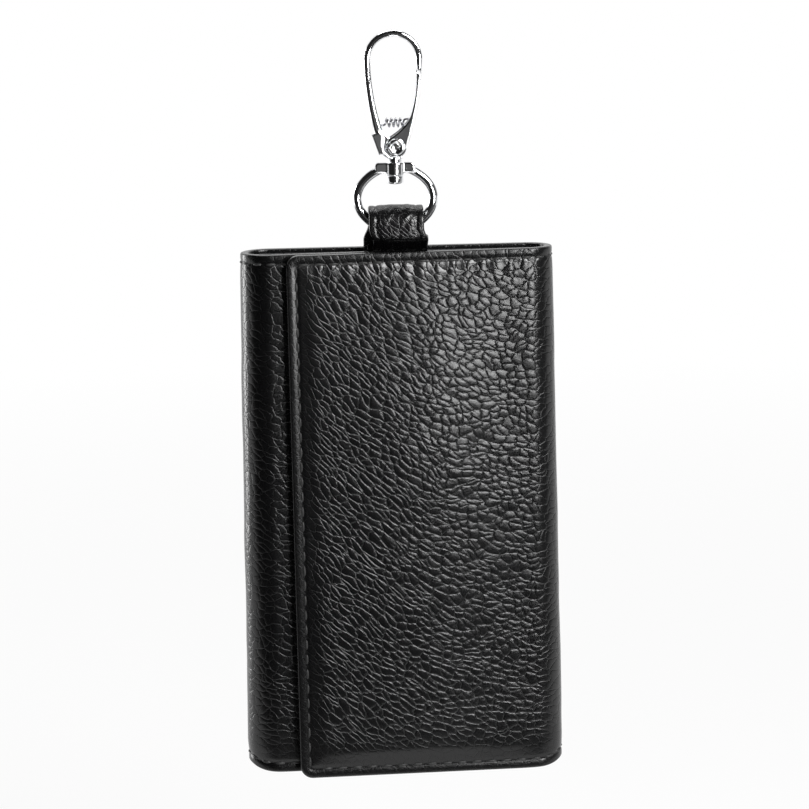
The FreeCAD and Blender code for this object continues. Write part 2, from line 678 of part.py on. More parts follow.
def rod_point():
    return V(0, lining_y() - ROD_FORWARD, plate_top_z() - PLATE_HEIGHT - ROD_BELOW_PLATE)


def along_x(radius, length, point):
    return Part.makeCylinder(radius, length, V(point.x - length / 2, point.y, point.z), V(1, 0, 0))


def plate_rivet_places():
    x = PLATE_WIDTH / 2 - PLATE_RIVET_INSET
    z = plate_top_z() - PLATE_HEIGHT / 2
    return [V(side * x, lining_y(), z) for side in (-1, 1)]


def key_plate():
    """Plate on the lining, with an ear at each end that holds the rod."""
    rod = rod_point()
    face_y = lining_y() - PLATE
    plate = Part.makeBox(PLATE_WIDTH, PLATE, PLATE_HEIGHT,
                         V(-PLATE_WIDTH / 2, face_y, plate_top_z() - PLATE_HEIGHT))
    upper = [edge for edge in plate.Edges
             if edge.BoundBox.YLength > PLATE / 2 and edge.BoundBox.ZMin > plate_top_z() - PLATE_HEIGHT / 2
             and edge.BoundBox.XLength < FOLD_SPLIT]
    plate = plate.makeFillet(PLATE_CORNER_R, upper)
    arm_rise = plate_top_z() - PLATE_HEIGHT / 2 - rod.z
    for side in (-1, 1):
        ear_x = side * (PLATE_WIDTH - EAR) / 2
        ear = along_x(EAR_R, EAR, V(ear_x, rod.y, rod.z))
        arm = Part.makeBox(EAR, lining_y() - rod.y + EAR_R, arm_rise,
                           V(ear_x - EAR / 2, rod.y - EAR_R, rod.z))
        plate = plate.multiFuse([ear, arm])
    plate = plate.cut(along_x(ROD_R + ROD_SEAT, PLATE_WIDTH + 2 * CUT_OVERRUN, rod))
    for place in plate_rivet_places():
        hole = Part.makeCylinder(PLATE_RIVET_R, 2 * PLATE, place + V(0, PLATE / 2, 0), V(0, -1, 0))
        plate = plate.cut(hole)
    return plate.removeSplitter()


def key_plate_rivets():
    """Rivets through the plate and the lining into the board."""
    solids = []
    for place in plate_rivet_places():
        shank = Part.makeCylinder(PLATE_RIVET_R, PLATE + LINING, place + V(0, LINING, 0), V(0, -1, 0))
        head = Part.makeCylinder(PLATE_RIVET_HEAD_R, PLATE_RIVET_HEAD, place - V(0, PLATE, 0), V(0, -1, 0))
        rim = [edge for edge in head.Edges
               if edge.CenterOfMass.y < place.y - PLATE - PLATE_RIVET_HEAD / 2
               and edge.BoundBox.YLength < FOLD_SPLIT]
        solids.append(head.makeFillet(PLATE_RIVET_HEAD / 2, rim).fuse(shank))
    return Part.makeCompound(solids)


def key_rod():
    return along_x(ROD_R, PLATE_WIDTH, rod_point())


def racetrack(width, height, thick, top):
    """A flat piece with round ends, hanging from a height."""
    radius = width / 2
    low = V(0, 0, top.z - height + radius)
    high = V(0, 0, top.z - radius)
    across = V(radius, 0, 0)
    edges = [line_edge(low + across, high + across),
             three_point_arc([high + across, high + V(0, 0, radius), high - across]),
             line_edge(high - across, low - across),
             three_point_arc([low - across, low - V(0, 0, radius), low + across])]
    return plate_of(edges, thick).translated(V(top.x, top.y, 0))


def key_hook(x):
    """One hook: a barrel on the rod, a neck and a long loop with its snap slit."""
    rod = rod_point() + V(x, 0, 0)
    loop_top = rod - V(0, 0, HOOK_NECK)
    loop = racetrack(HOOK_WIDTH, HOOK_LOOP, HOOK_THICK, loop_top)
    hole = racetrack(HOOK_WIDTH - 2 * HOOK_WIRE, HOOK_LOOP - 2 * HOOK_WIRE, 2 * HOOK_THICK,
                     loop_top - V(0, 0, HOOK_WIRE))
    loop = loop.cut(hole)
    outline = [edge for edge in loop.Edges if edge.BoundBox.YLength < FOLD_SPLIT]
    loop = loop.makeFillet(HOOK_ROUND, outline)
    slit = Part.makeBox(HOOK_WIRE + CUT_OVERRUN, 2 * HOOK_THICK, HOOK_SLIT,
                        V(x + HOOK_WIDTH / 2 - HOOK_WIRE - CUT_OVERRUN / 2, rod.y - HOOK_THICK,
                          loop_top.z - HOOK_SLIT_DROP))
    neck = Part.makeBox(HOOK_NECK_WIDTH, HOOK_THICK, HOOK_NECK + HOOK_WIRE / 2,
                        V(x - HOOK_NECK_WIDTH / 2, rod.y - HOOK_THICK / 2, loop_top.z - HOOK_WIRE / 2))
    barrel = along_x(HOOK_BARREL_R, HOOK_BARREL, rod)
    bore = along_x(ROD_R + HOOK_BORE_PLAY, HOOK_BARREL + 2 * CUT_OVERRUN, rod)
    return loop.cut(slit).multiFuse([neck, barrel]).cut(bore).removeSplitter()


def build():
    nodes = panels()
    back_hole = key_plate_rivets()
    nodes["back_lining"] = nodes["back_lining"].cut(back_hole)
    nodes["loop_strap"] = loop_strap()
    nodes["swivel_ring"] = swivel_ring()
    nodes["swivel_pin"] = swivel_pin()
    nodes["clasp_body"] = clasp_body()
    nodes["clasp_gate"] = clasp_gate()
    nodes["gate_rivet"] = gate_rivet()
    nodes["gate_spring"] = gate_spring()
    nodes["key_plate"] = key_plate()
    nodes["key_plate_rivets"] = key_plate_rivets()
    nodes["key_rod"] = key_rod()
    first = -HOOK_PITCH * (HOOK_COUNT - 1) / 2
    for number in range(HOOK_COUNT):
        nodes["key_hook_%d" % (number + 1)] = key_hook(first + number * HOOK_PITCH)
    return nodes


def main():
    os.makedirs("parts", exist_ok=True)
    for name, shape in build().items():
        shape.exportStep("parts/%s.step" % name)
        print("%-22s solids %d valid %s volume %.2f"
              % (name, len(shape.Solids), shape.isValid(), shape.Volume))


main()
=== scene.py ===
"""A black pebbled-leather trifold key case that hangs from a chrome swivel clasp.

Lengths are in millimetres in the frame of the CAD model: X to the right, the front faces -Y,
Z up, origin at the inner top of the clasp's hook. Meshes are built in metres. Lights and camera
are placed in metres.
"""
import json
import math

import bpy
import numpy as np
from mathutils import Matrix, Vector


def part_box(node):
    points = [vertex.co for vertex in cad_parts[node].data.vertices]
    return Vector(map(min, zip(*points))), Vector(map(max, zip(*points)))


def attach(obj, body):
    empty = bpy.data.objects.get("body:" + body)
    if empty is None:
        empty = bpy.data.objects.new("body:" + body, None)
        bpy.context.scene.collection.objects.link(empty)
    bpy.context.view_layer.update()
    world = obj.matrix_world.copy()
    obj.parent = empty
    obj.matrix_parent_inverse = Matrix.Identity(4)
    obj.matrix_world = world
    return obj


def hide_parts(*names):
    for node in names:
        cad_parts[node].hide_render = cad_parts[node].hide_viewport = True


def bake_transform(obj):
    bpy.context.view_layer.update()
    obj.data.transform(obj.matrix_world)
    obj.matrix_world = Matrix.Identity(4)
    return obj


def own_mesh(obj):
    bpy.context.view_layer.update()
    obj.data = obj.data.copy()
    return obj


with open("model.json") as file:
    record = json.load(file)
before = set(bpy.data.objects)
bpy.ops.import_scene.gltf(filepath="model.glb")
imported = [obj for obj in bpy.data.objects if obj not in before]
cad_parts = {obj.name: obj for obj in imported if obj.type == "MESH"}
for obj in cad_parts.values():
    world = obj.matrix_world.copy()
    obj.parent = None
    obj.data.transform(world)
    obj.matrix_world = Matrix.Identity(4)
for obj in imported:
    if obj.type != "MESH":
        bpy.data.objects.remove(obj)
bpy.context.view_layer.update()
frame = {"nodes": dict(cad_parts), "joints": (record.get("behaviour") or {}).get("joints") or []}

MM = 0.001

# The outer leather's line seen from above, as in the CAD model
CASE_WIDTH = 65.0
BACK_Y = 6.05
RIGHT_R = 5.25
TILT = math.radians(4.5)
FLAP_STEP = 2.6              # front flap's outer face to inner flap's outer face
FRONT_EDGE_X = -23.2
INNER_EDGE_X = -1.5
LEFT_R = (RIGHT_R * (1 + math.cos(TILT) - math.sin(TILT)) - FLAP_STEP
          + CASE_WIDTH * math.sin(TILT)) / (1 + math.cos(TILT) + math.sin(TILT))
RIGHT_C = np.array([CASE_WIDTH / 2 - RIGHT_R, BACK_Y - RIGHT_R])
LEFT_C = np.array([LEFT_R - CASE_WIDTH / 2, BACK_Y - LEFT_R])
FLAP_OUT = np.array([math.sin(TILT), -math.cos(TILT)])
FLAP_RUN = np.array([-math.cos(TILT), -math.sin(TILT)])
TOP_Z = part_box("front_flap_leather")[1][2] / MM
FOOT_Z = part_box("front_flap_leather")[0][2] / MM
HEIGHT = TOP_Z - FOOT_Z

# How the sewn case departs from that line
FLARE = 0.02                 # it widens towards its foot by this share
FLAP_TAPER = 1.2             # the front flap's free edge draws in towards its foot
LEFT_FOOT_RISE = (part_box("left_fold_leather")[0][2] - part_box("front_flap_leather")[0][2]) / MM
LEFT_FOOT_RUN = 9.0          # length of back over which the left foot's rise runs out
FOLD_FOOT_RISE = 1.7         # the foot is drawn up where the side folds turn
FOLD_FOOT_WIDTH = 5.0
FOOT_RISE_REACH = 16.0       # height above the foot at which the rise has run out

# Leather and lining
THICK = 1.7                  # leather with its turned edge
LINING_DEPTH = 2.2           # lining's face inside the outer face
LINING_INSET = 2.4           # lining inside the free edges and above the foot
LINING_TOP = 0.9             # and below the top edge
CORNER_R = 2.6
EDGE_R = 0.4                 # rounding of the turned edges
EDGE_SHARES = np.array([0, 0.05, 0.2, 0.45, 0.75, 1.1])    # mesh lines over a rounding
AT_EDGE = 1e-4               # a rim nearer to its edge than this is rounded
STEP = 0.4                   # mesh spacing on the flat panels
FOLD_STEP = 0.22             # and round the folds
FOLD_MARGIN = 1.0            # the closer spacing reaches this far past a fold
SPACING_POINTS = 2000        # points at which the spacing is added up
LINING_ROWS = 120
LINING_SKIP = 3              # the lining takes every third line of a mesh spaced like the leather's
LINING_GRAIN = 0.4           # share of the full grain
NO_EDGE = 10.0               # edge distance that leaves a face without rounding

# Relief of the outer face
PAD = 0.14                   # padding inside the seam
PAD_RISE = (1.9, 5.5)        # edge distances between which it rises
GROOVE = 0.18                # the stitches sink into a groove
GROOVE_WIDTH = 0.4
SLACK = ((0.22, 15.0), (0.10, 5.0))    # heights and sizes of loose waves
CROWN = 1.2                  # the front flap's middle stands out by this
GATHER = 0.09                # puckers below the front flap's top seam
GATHER_RISE = (1.9, 2.8)     # distances below the top edge between which they begin
GATHER_TOP = 2.4             # below this they fade
GATHER_FADE = 2.6
GATHER_WAVER = 3.0           # spread of their turns against the stitches' rhythm, in radians
GATHER_PATCH = (7.0, 4.0)    # length and height of the patches that share a turn
GATHER_FOLD_FADE = 3.0       # half the length over which they begin at the flap's fold
GATHER_END_RISE = (3.0, 7.0)    # distances from the flap's free edge between which they begin

# Grain
GRAIN_LONG = 2.05            # a grain cell along the flow of the grain
GRAIN_WIDE = 1.5
GRAIN_LEAN = 0.8             # slope of the grain's flow at the flap's free edge
GRAIN_LEAN_LEAD = 6.0        # it begins this far before the flap
GRAIN_SWAY = 0.2             # and its sway on the rest of the sheet
GRAIN_SWAY_RUN = 13.0
FLOW_MARGIN = 10.0           # the flow is worked out this far past the sheet's ends
FLOW_POINTS = 400
GRAIN_WAVER = ((1.6, 6.0), (0.7, 2.0))    # amounts and sizes of its wandering
SEAM_STRETCH = 2.4           # cells are drawn out below the top seam by this in all
SEAM_STRETCH_REACH = 3.5
LEAST_GRAIN = 0.08           # shares of the full grain: anywhere,
TOP_GRAIN = 0.25             # along the top edge,
LEFT_GRAIN = 0.4             # on the inner flap and left fold
FOLD_GRAIN = 0.5             # and round the right fold
GRAIN_FADE = 4.0             # half the length over which the share changes beside the back
FLAP_GRAIN_FADE = 1.0        # and where the front flap begins
PATCH_GRAIN = (0.85, 0.4, 9.0)    # mean share, its variation and the size of patches
FOOT_GRAIN_RISE = (2.5, 13.0)     # distances between which the grain grows: from the foot,
TOP_GRAIN_RISE = (1.2, 3.0)       # from the top,
INNER_GRAIN_RISE = (1.5, 7.5)     # from the inner flap's free edge
FLAP_GRAIN_RISE = (2.5, 10.0)     # and from the front flap's free edge

# Stitches
STITCH_SET = 1.95            # stitch line inside the edges
STITCH_PITCH = 3.1
STITCH_LENGTH = 2.3
STITCH_POINTS = 9
TURN_ROOM = STITCH_SET + 0.6 * STITCH_LENGTH    # from a free edge to the first stitch across it
THREAD_R = 0.24
THREAD_WIDE = 1.2            # the thread's width to its height
THREAD_PROUD = 0.10          # its middle above the leather
THREAD_DIP = 0.26            # its ends sink by this
THREAD_NARROWING = 0.85      # share of the section lost at its ends
THREAD_SIDES = 8

# Lengths along the sheet: inner flap, left fold, back, right fold, front flap
LEFT_START = LEFT_C + FLAP_OUT * LEFT_R
RIGHT_START = RIGHT_C + FLAP_OUT * RIGHT_R
INNER_RUN = (INNER_EDGE_X - LEFT_START[0]) / math.cos(TILT)
LEFT_TURN = math.pi + TILT
RIGHT_TURN = math.pi - TILT
FRONT_RUN = (RIGHT_START[0] - FRONT_EDGE_X) / math.cos(TILT)
U_LEFT = INNER_RUN
U_BACK = U_LEFT + LEFT_R * LEFT_TURN
U_RIGHT = U_BACK + RIGHT_C[0] - LEFT_C[0]
U_FRONT = U_RIGHT + RIGHT_R * RIGHT_TURN
U_END = U_FRONT + FRONT_RUN
MID_LEFT = (U_LEFT + U_BACK) / 2
MID_RIGHT = (U_RIGHT + U_FRONT) / 2


def smooth(low, high, value):
    t = np.clip((value - low) / (high - low), 0, 1)
    return t * t * (3 - 2 * t)


def sheet_line(u):
    """Points and outward normals on the outer face for lengths along the sheet."""
    u = np.asarray(u, float)
    x, y, nx, ny = (np.zeros_like(u) for _ in range(4))

    def put(mask, px, py, qx, qy):
        x[mask], y[mask], nx[mask], ny[mask] = px, py, qx, qy

    m = u < U_LEFT
    run = U_LEFT - u[m]
    put(m, LEFT_START[0] - FLAP_RUN[0] * run, LEFT_START[1] - FLAP_RUN[1] * run, *FLAP_OUT)
    m = (u >= U_LEFT) & (u < U_BACK)
    a = math.pi / 2 + LEFT_TURN - (u[m] - U_LEFT) / LEFT_R
    put(m, LEFT_C[0] + LEFT_R * np.cos(a), LEFT_C[1] + LEFT_R * np.sin(a), np.cos(a), np.sin(a))
    m = (u >= U_BACK) & (u < U_RIGHT)
    put(m, LEFT_C[0] + u[m] - U_BACK, BACK_Y, 0, 1)
    m = (u >= U_RIGHT) & (u < U_FRONT)
    a = math.pi / 2 - (u[m] - U_RIGHT) / RIGHT_R
    put(m, RIGHT_C[0] + RIGHT_R * np.cos(a), RIGHT_C[1] + RIGHT_R * np.sin(a), np.cos(a), np.sin(a))
    m = u >= U_FRONT
    run = u[m] - U_FRONT
    put(m, RIGHT_START[0] + FLAP_RUN[0] * run, RIGHT_START[1] + FLAP_RUN[1] * run, *FLAP_OUT)
    return x, y, nx, ny


def on_sheet(u, z, depth):
    """Places on the case for lengths along the sheet, heights and depths inside the outer face."""
    x, y, nx, ny = sheet_line(u)
    wide = 1 + FLARE * (TOP_Z - z) / HEIGHT
    rise = LEFT_FOOT_RISE * (1 - smooth(U_BACK, U_BACK + LEFT_FOOT_RUN, u))
    for middle in (MID_LEFT, MID_RIGHT):
        rise = rise + FOLD_FOOT_RISE * np.exp(-((u - middle) / FOLD_FOOT_WIDTH) ** 2)
    rise = rise * (1 - smooth(0, FOOT_RISE_REACH, z - FOOT_Z))
    return np.stack([(x - nx * depth) * wide, y - ny * depth, z + rise], -1)


def cell_random(ix, iy, seed):
    """A number from 0 to 1 for each cell of a grid, always the same for the same cell and seed."""
    column_turn, row_turn, seed_turn, spread = 127.1, 311.7, 74.7, 43758.5453
    value = np.sin(ix * column_turn + iy * row_turn + seed * seed_turn) * spread
    return value - np.floor(value)


def soft_noise(x, y, seed):
    """Smooth noise from -0.5 to 0.5 on a unit grid."""
    ix, iy = np.floor(x), np.floor(y)
    fx, fy = smooth(0, 1, x - ix), smooth(0, 1, y - iy)
    low = cell_random(ix, iy, seed) * (1 - fx) + cell_random(ix + 1, iy, seed) * fx
    high = cell_random(ix, iy + 1, seed) * (1 - fx) + cell_random(ix + 1, iy + 1, seed) * fx
    return low * (1 - fy) + high * fy - 0.5


def waves(u, z, layers, first_seed):
    """Sum of smooth noises, each with its amount and size."""
    return sum(amount * soft_noise(u / size, z / size, first_seed + k)
               for k, (amount, size) in enumerate(layers))


def grain_place(u, z):
    """Place in the grain, counted in cells along and across its flow."""
    line = np.linspace(-FLOW_MARGIN, U_END + FLOW_MARGIN, FLOW_POINTS)
    slope = (GRAIN_LEAN * smooth(U_FRONT - GRAIN_LEAN_LEAD, U_END, line)
             + GRAIN_SWAY * np.sin(line / GRAIN_SWAY_RUN) * smooth(U_FRONT, U_RIGHT, line))
    lean = np.cumsum(slope) * (line[1] - line[0])
    below = TOP_Z - z
    drawn_out = below - SEAM_STRETCH * (1 - np.exp(-np.maximum(below, 0) / SEAM_STRETCH_REACH))
    along = -u + waves(u, z, GRAIN_WAVER, 1)
    across = -drawn_out - np.interp(u, line, lean) + waves(u, z, GRAIN_WAVER, 3)
    return np.stack([along / GRAIN_LONG, across / GRAIN_WIDE, 0 * u], -1)


def grain_share(u, z, u0, u1, open_start, open_end):
    """Share of the full grain, which is weaker at the edges and on the folds."""
    mean, variation, size = PATCH_GRAIN
    on_left = smooth(U_BACK + GRAIN_FADE, U_BACK - GRAIN_FADE, u)
    on_fold = (smooth(U_RIGHT - GRAIN_FADE, U_RIGHT + GRAIN_FADE, u)
               * smooth(U_FRONT + FLAP_GRAIN_FADE, U_FRONT - FLAP_GRAIN_FADE, u))
    share = (smooth(*FOOT_GRAIN_RISE, z - FOOT_Z)
             * (TOP_GRAIN + (1 - TOP_GRAIN) * smooth(*TOP_GRAIN_RISE, TOP_Z - z))
             * (mean + variation * soft_noise(u / size, z / size, 12))
             * (1 - (1 - LEFT_GRAIN) * on_left) * (1 - (1 - FOLD_GRAIN) * on_fold))
    if open_start:
        share = share * smooth(*INNER_GRAIN_RISE, u - u0)
    if open_end:
        share = share * smooth(*FLAP_GRAIN_RISE, u1 - u)
    return LEAST_GRAIN + (1 - LEAST_GRAIN) * share


def samples(low, high, rolled_low, rolled_high, step):
    """Samples along one direction, closer together at rolled edges; step may depend on the place."""
    edge = EDGE_SHARES * EDGE_R
    start = edge if rolled_low else edge[:1]
    end = edge if rolled_high else edge[:1]
    line = np.linspace(low + start[-1], high - end[-1], SPACING_POINTS)
    count = np.concatenate([[0], np.cumsum(np.diff(line) / step(line[1:]))])
    whole = max(int(round(count[-1])), 2)
    middle = np.interp(np.linspace(0, count[-1], whole + 1), count, line)
    return np.concatenate([low + start[:-1], middle, (high - end[:-1])[::-1]])


def sheet_step(u):
    """Mesh spacing along the sheet."""
    folded = np.zeros(u.shape, bool)
    for first, last in ((U_LEFT, U_BACK), (U_RIGHT, U_FRONT)):
        folded |= (u > first - FOLD_MARGIN) & (u < last + FOLD_MARGIN)
    return np.where(folded, FOLD_STEP, STEP)


def even_step(step):
    """The same mesh spacing everywhere."""
    return lambda line: np.full(line.shape, step)


def rolled(edge):
    """Depth of the outer face beside a rounded edge."""
    inset = EDGE_R - np.clip(edge, 0, EDGE_R)
    return EDGE_R - np.sqrt(np.maximum(EDGE_R ** 2 - inset ** 2, 0))


def new_mesh(name, points, faces, smooth_faces=True):
    mesh = bpy.data.meshes.new(name)
    mesh.from_pydata((np.asarray(points) * MM).tolist(), [], faces)
    mesh.polygons.foreach_set("use_smooth", [smooth_faces] * len(mesh.polygons))
    mesh.update()
    piece = bpy.data.objects.new(name, mesh)
    bpy.context.scene.collection.objects.link(piece)
    return piece


def attribute(piece, name, values):
    """Store numbers or vectors on a piece's points for its material."""
    kind = "FLOAT" if values.ndim == 1 else "FLOAT_VECTOR"
    layer = piece.data.attributes.new(name, kind, "POINT")
    layer.data.foreach_set("value" if kind == "FLOAT" else "vector", values.astype(np.float32).ravel())


def shell(name, a, b, edge, place, thick, relief, grain, share, normals=None):
    """A closed sheet: outer grid, inner grid and a rim, smooth at rounded edges and flat where it was cut."""
    rows, cols = a.shape
    turn = rolled(edge)
    outer = place(a, b, turn - relief).reshape(-1, 3)
    inner = place(a, b, thick - turn).reshape(-1, 3)
    index = np.arange(rows * cols).reshape(rows, cols)
    below = index + rows * cols
    top = np.stack([index[:-1, :-1], index[1:, :-1], index[1:, 1:], index[:-1, 1:]], -1).reshape(-1, 4)
    under = np.stack([below[:-1, :-1], below[:-1, 1:], below[1:, 1:], below[1:, :-1]], -1).reshape(-1, 4)
    around = np.concatenate([index[0, :-1], index[:-1, -1], index[-1, :0:-1], index[:0:-1, 0]])
    onward = np.roll(around, -1)
    rim = np.stack([around, onward, onward + rows * cols, around + rows * cols], -1)
    is_smooth = np.ones(len(top) + len(under) + len(rim), bool)
    flat_edge = edge.reshape(-1)
    is_smooth[len(top) + len(under):] = np.maximum(flat_edge[around], flat_edge[onward]) < AT_EDGE
    piece = new_mesh(name, np.concatenate([outer, inner]), np.concatenate([top, under, rim]).tolist())
    piece.data.polygons.foreach_set("use_smooth", is_smooth)

    def both(values):
        values = values.reshape(rows * cols, -1)
        values = np.concatenate([values, values])
        return values[:, 0] if values.shape[1] == 1 else values

    attribute(piece, "cell", both(grain))
    attribute(piece, "sheet", both(np.stack([a, b, np.zeros_like(a)], -1)))
    attribute(piece, "grain_share", both(share))
    if normals is not None:
        given = np.zeros((len(piece.data.vertices), 3))
        given[:rows * cols] = normals.reshape(-1, 3)
        piece.data.normals_split_custom_set_from_vertices(given.tolist())
    return piece


def free_end(u1, z):
    """Length along the sheet of the front flap's free edge at a height."""
    return u1 - FLAP_TAPER * (TOP_Z - z) / HEIGHT


def side_edge(z):
    """Distance from the nearer of the foot and the top edge."""
    return np.minimum(z - FOOT_Z, TOP_Z - z)


def panel_grid(u0, u1, open_start, open_end):
    """Lengths, heights and edge distances of a stretch of the sheet, with rounded free corners."""
    share = (samples(u0, u1, open_start, open_end, sheet_step) - u0) / (u1 - u0)
    z = samples(FOOT_Z, TOP_Z, True, True, even_step(STEP))
    inset = np.maximum(CORNER_R - side_edge(z), 0)
    bite = CORNER_R - np.sqrt(np.maximum(CORNER_R ** 2 - inset ** 2, 0))
    left = u0 + bite * open_start
    right = free_end(u1, z) - bite if open_end else np.full(len(z), u1)
    a = left[:, None] + (right - left)[:, None] * share[None, :]
    b = np.repeat(z[:, None], len(share), 1)
    from_side = side_edge(b)
    edge = from_side.copy()
    for is_open, gap in ((open_start, a - u0), (open_end, free_end(u1, b) - a)):
        if is_open:
            corner = (gap < CORNER_R) & (from_side < CORNER_R)
            round_edge = CORNER_R - np.hypot(CORNER_R - gap, CORNER_R - from_side)
            edge = np.minimum(edge, np.where(corner, round_edge, gap))
    return a, b, np.maximum(edge, 0)


def middle_of_flap(u):
    """1 on the front flap, fading to 0 at its fold and before its free edge."""
    past_fold = smooth(U_FRONT - GATHER_FOLD_FADE, U_FRONT + GATHER_FOLD_FADE, u)
    return past_fold * smooth(*GATHER_END_RISE, U_END - u)


def leather_relief(u, z, edge):
    """How far padding, crown, puckers, the stitch groove and slack raise or sink the outer face."""
    field = smooth(*PAD_RISE, edge)
    groove = np.exp(-((edge - STITCH_SET) / GROOVE_WIDTH) ** 2)
    slack = waves(u, z, SLACK, 8)
    across = np.clip((u - U_FRONT) / FRONT_RUN, 0, 1)
    below = TOP_Z - z
    down = np.clip(below / HEIGHT, 0, 1)
    crown = CROWN * np.sin(math.pi * across) ** 2 * np.sqrt(np.sin(math.pi * down))
    long, high = GATHER_PATCH
    turn = 2 * math.pi * u / STITCH_PITCH + GATHER_WAVER * soft_noise(u / long, z / high, 5)
    fade = np.exp(-np.maximum(below - GATHER_TOP, 0) / GATHER_FADE)
    gather = GATHER * np.cos(turn) * smooth(*GATHER_RISE, below) * fade
    return (PAD + slack + crown) * field - GROOVE * groove + gather * middle_of_flap(u)


def cut_normals(a, b, open_start, open_end):
    """Normals at the cut ends, from the surface on both sides of the cut."""
    normals = np.zeros((*a.shape, 3))
    inside = slice(len(EDGE_SHARES), -len(EDGE_SHARES))
    for is_open, column in ((open_start, 0), (open_end, -1)):
        if is_open:
            continue
        u, z = a[:, column], b[:, column]
        edge = side_edge(z)

        def surface(shift):
            return on_sheet(u + shift, z, rolled(edge) - leather_relief(u + shift, z, edge))

        along = surface(FOLD_STEP / 2) - surface(-FOLD_STEP / 2)
        up = np.gradient(surface(0), axis=0)
        normal = np.cross(along, up)
        _, _, nx, ny = sheet_line(u)
        facing = np.sign(normal[:, 0] * nx + normal[:, 1] * ny)[:, None]
        normal = normal / np.linalg.norm(normal, axis=1)[:, None] * facing
        normals[inside, column] = normal[inside]
    return normals


def leather_panel(name, u0, u1, open_start, open_end):
    a, b, edge = panel_grid(u0, u1, open_start, open_end)
    return shell(name, a, b, edge, on_sheet, THICK, leather_relief(a, b, edge), grain_place(a, b),
                 grain_share(a, b, u0, u1, open_start, open_end), cut_normals(a, b, open_start, open_end))


def lining_panel(name, u0, u1, open_start, open_end):
    """Thin lining on the inner face, inside the turned edges."""
    start = u0 + LINING_INSET * open_start
    end = u1 - (LINING_INSET + FLAP_TAPER) * open_end
    u = samples(start, end, False, False, sheet_step)[::LINING_SKIP]
    u[-1] = end
    a, b = np.meshgrid(u, np.linspace(FOOT_Z + LINING_INSET, TOP_Z - LINING_TOP, LINING_ROWS))
    edge = np.full(a.shape, NO_EDGE)

    def place(length, z, depth):
        return on_sheet(length, z, THICK + depth)

    return shell(name, a, b, edge, place, LINING_DEPTH - THICK, 0 * a, grain_place(a, b),
                 LINING_GRAIN + 0 * a)


def square_to(ahead, up):
    """Unit vectors square to the way ahead: the nearest to up, and the one beside it."""
    ahead = ahead / np.linalg.norm(ahead, axis=1)[:, None]
    up = up - ahead * (up * ahead).sum(1)[:, None]
    up = up / np.linalg.norm(up, axis=1)[:, None]
    return up, np.cross(ahead, up)


def ring_turns(count):
    """Cosines and sines round a ring of points, ready to multiply vectors along a path."""
    angle = 2 * math.pi * np.arange(count) / count
    return np.cos(angle)[:, None], np.sin(angle)[:, None]


def tube_mesh(name, tubes):
    """Closed tubes, each given as rings of points from its start to its end."""
    points, faces = [], []
    for rings in tubes:
        index = len(points) + np.arange(rings.shape[0] * rings.shape[1]).reshape(rings.shape[:2])
        onward = np.roll(index, -1, axis=1)
        walls = np.stack([index[:-1], onward[:-1], onward[1:], index[1:]], -1).reshape(-1, 4)
        faces += walls.tolist() + [index[0, ::-1].tolist(), index[-1].tolist()]
        points += rings.reshape(-1, 3).tolist()
    return new_mesh(name, points, faces)


def thread_mesh(name, paths):
    """Stitches: short rounded lengths of thread, each dipping into the leather at its ends."""
    cosine, sine = ring_turns(THREAD_SIDES)
    tubes = []
    for path, normal in paths:
        up, side = square_to(np.gradient(path, axis=0), normal)
        t = np.linspace(-1, 1, len(path))[:, None]
        r = THREAD_R * np.sqrt(1 - THREAD_NARROWING * t * t)
        centre = path - up * (THREAD_DIP * t * t)
        tubes.append(centre[:, None] + cosine * (r * up)[:, None] + sine * (THREAD_WIDE * r * side)[:, None])
    return tube_mesh(name, tubes)


def stitch_paths(u0, u1, open_start, open_end):
    """Stitches along the top, the foot and any free edge of a stretch of the sheet."""
    t = np.linspace(-0.5, 0.5, STITCH_POINTS) * STITCH_LENGTH
    z_low, z_high = FOOT_Z + STITCH_SET, TOP_Z - STITCH_SET
    low = u0 + TURN_ROOM * open_start
    runs = []
    for z in (z_high, z_low):
        high = free_end(u1, z) - TURN_ROOM if open_end else u1
        for k in range(math.ceil(low / STITCH_PITCH), math.ceil(high / STITCH_PITCH)):
            runs.append((k * STITCH_PITCH + t, np.full(STITCH_POINTS, z)))
    for is_open, line in ((open_start, lambda z: u0 + STITCH_SET + 0 * z),
                          (open_end, lambda z: free_end(u1, z) - STITCH_SET)):
        if is_open:
            count = int((z_high - z_low) / STITCH_PITCH)
            for k in range(count):
                middle = z_low + (k + 0.5) * (z_high - z_low) / count
                runs.append((line(middle + t), middle + t))
    paths = []
    for u, z in runs:
        _, _, nx, ny = sheet_line(u)
        proud = leather_relief(u, z, np.full(STITCH_POINTS, STITCH_SET)) + THREAD_PROUD
        paths.append((on_sheet(u, z, -proud), np.stack([nx, ny, 0 * nx], -1)))
    return paths


def node(tree, kind, **values):
    """A new node; names that begin with in_ set its inputs, other names its properties."""
    made = tree.nodes.new(kind)
    for key, value in values.items():
        if key.startswith("in_"):
            made.inputs[key[3:].replace("_", " ")].default_value = value
        else:
            setattr(made, key, value)
    return made


def new_material(name):
    material = bpy.data.materials.new(name)
    material.use_nodes = True
    tree = material.node_tree
    return material, tree, tree.nodes["Principled BSDF"]


def ramp(tree, source, stops):
    """A ramp of greys or colours driven by a value."""
    made = node(tree, "ShaderNodeValToRGB")
    elements = made.color_ramp.elements
    while len(elements) < len(stops):
        elements.new(0.5)
    for element, (place, colour) in zip(elements, stops):
        element.position = place
        element.color = (*colour, 1) if isinstance(colour, tuple) else (colour, colour, colour, 1)
    tree.links.new(source, made.inputs["Fac"])
    return made.outputs["Color"]


